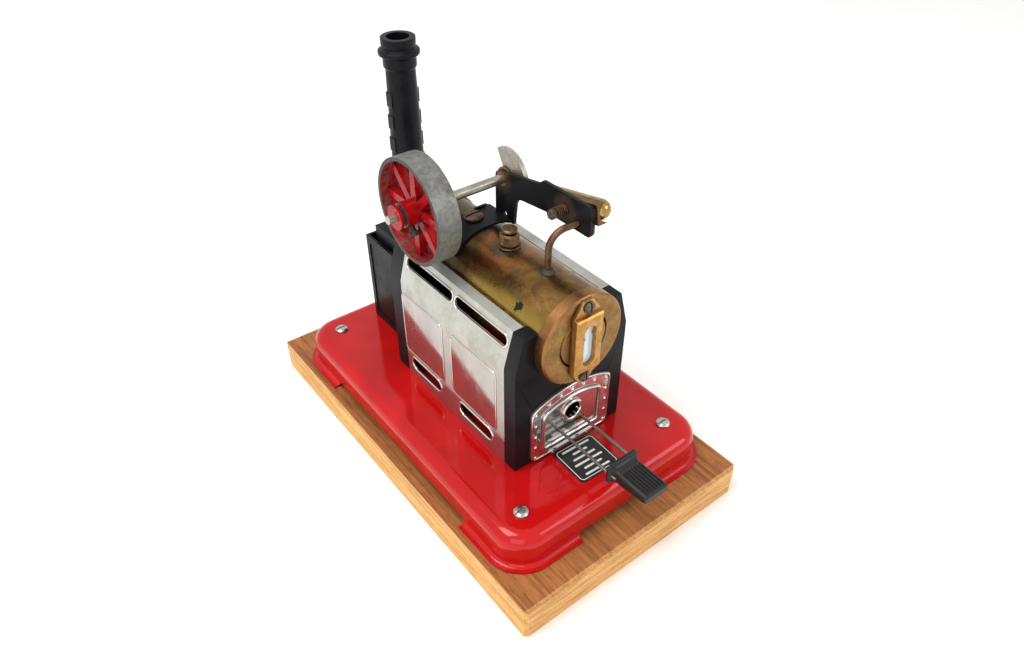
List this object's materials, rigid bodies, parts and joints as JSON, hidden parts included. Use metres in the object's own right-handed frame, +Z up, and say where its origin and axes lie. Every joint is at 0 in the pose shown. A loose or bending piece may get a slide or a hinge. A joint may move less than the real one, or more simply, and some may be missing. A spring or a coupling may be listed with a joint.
{
  "type": "model steam engine",
  "caption": "Small stationary model steam engine: horizontal boiler over a firebox, oscillating cylinder driving a flywheel, chimney, slide-in burner, on a pressed base and wooden board.",
  "frame": {"origin": "centre of the wooden board's underside", "axes": "+Z up, -Y the front with the burner and sight glass, +Y the chimney end, -X the flywheel side"},
  "size_m": [0.14, 0.2432, 0.205],
  "materials": {
    "board_wood": "oiled, worn",
    "red_enamel": "gloss",
    "screw_steel": "dull zinc",
    "black_casting": "satin",
    "bright_panel": "dusty nickel plate",
    "boiler_brass": "heat-tarnished",
    "cap_bronze": "tarnished",
    "glass_frame_brass": "satin",
    "sight_glass": "clear",
    "gasket_fibre": "matt",
    "valve_brass": "knurled, tarnished",
    "pipe_copper": "oxidised copper",
    "black_frame": "satin",
    "rusty_steel": "rust-spotted",
    "bearing_bronze": "oily",
    "shaft_steel": "rust-spotted",
    "flywheel_red": "gloss, bare grey rim",
    "cylinder_brass": "aged",
    "burner_chrome": "bright",
    "tray_steel": "sooty",
    "wire_steel": "dull",
    "grip_plastic": "satin black",
    "label_black": "gloss, white border"
  },
  "bodies": {
    "engine": {"wooden_board": "board_wood", "base_plate": "red_enamel", "base_screws": "screw_steel", "firebox_front_end": "black_casting", "firebox_rear_end": "black_casting", "firebox_left_side": "bright_panel", "firebox_right_side": "bright_panel", "boiler_shell": "boiler_brass", "boiler_front_cap": "cap_bronze", "boiler_rear_cap": "cap_bronze", "sight_glass_frame": "glass_frame_brass", "sight_glass_pane": "sight_glass", "sight_glass_gasket": "gasket_fibre", "sight_glass_screws": "screw_steel", "safety_valve_bush": "valve_brass", "safety_valve_body": "valve_brass", "steam_pipe": "pipe_copper", "steam_pipe_collar": "boiler_brass", "chimney_base": "black_casting", "chimney_stack": "black_casting", "engine_frame": "black_frame", "port_plate": "cylinder_brass", "right_crankshaft_bush": "bearing_bronze", "left_crankshaft_bush": "bearing_bronze", "frame_screw": "rusty_steel", "label_plate": "label_black"},
    "crank": {"crankshaft": "shaft_steel", "crank_web": "shaft_steel", "crank_pin": "shaft_steel", "flywheel": "flywheel_red", "flywheel_set_screw": "rusty_steel"},
    "cylinder": {"cylinder_tube": "cylinder_brass", "cylinder_port_block": "cylinder_brass", "trunnion_bolt": "rusty_steel", "trunnion_nut": "rusty_steel", "trunnion_spring": "rusty_steel"},
    "piston": {"piston": "cylinder_brass", "piston_rod": "shaft_steel"},
    "burner": {"burner_door": "burner_chrome", "burner_tray": "tray_steel", "burner_wire_handle": "wire_steel", "burner_grip": "grip_plastic"},
    "safety_valve": {"safety_valve_spindle": "valve_brass", "safety_valve_spring": "shaft_steel"}
  },
  "joints": [
    {"name": "crankshaft_spin", "type": "hinge", "parent": "engine", "child": "crank", "pos_m": [0, 0.006, 0.1516], "axis": [1, 0, 0], "continuous": true},
    {"name": "cylinder_rock", "type": "hinge", "parent": "engine", "child": "cylinder", "pos_m": [0.0155, -0.04, 0.156], "axis": [1, 0, 0], "range_deg": [-3.7, 17.5]},
    {"name": "piston_stroke", "type": "slide", "parent": "cylinder", "child": "piston", "axis": [0, -0.9768, 0.2142], "range_m": [-0.0024, 0.0145]},
    {"name": "burner_draw", "type": "slide", "parent": "engine", "child": "burner", "axis": [0, -1, 0], "range_m": [0, 0.095]},
    {"name": "safety_valve_lift", "type": "slide", "parent": "engine", "child": "safety_valve", "axis": [0, 0, 1], "range_m": [0, 0.0015], "stiffness_N_per_m": 400, "springref_m": -0.002}
  ]
}
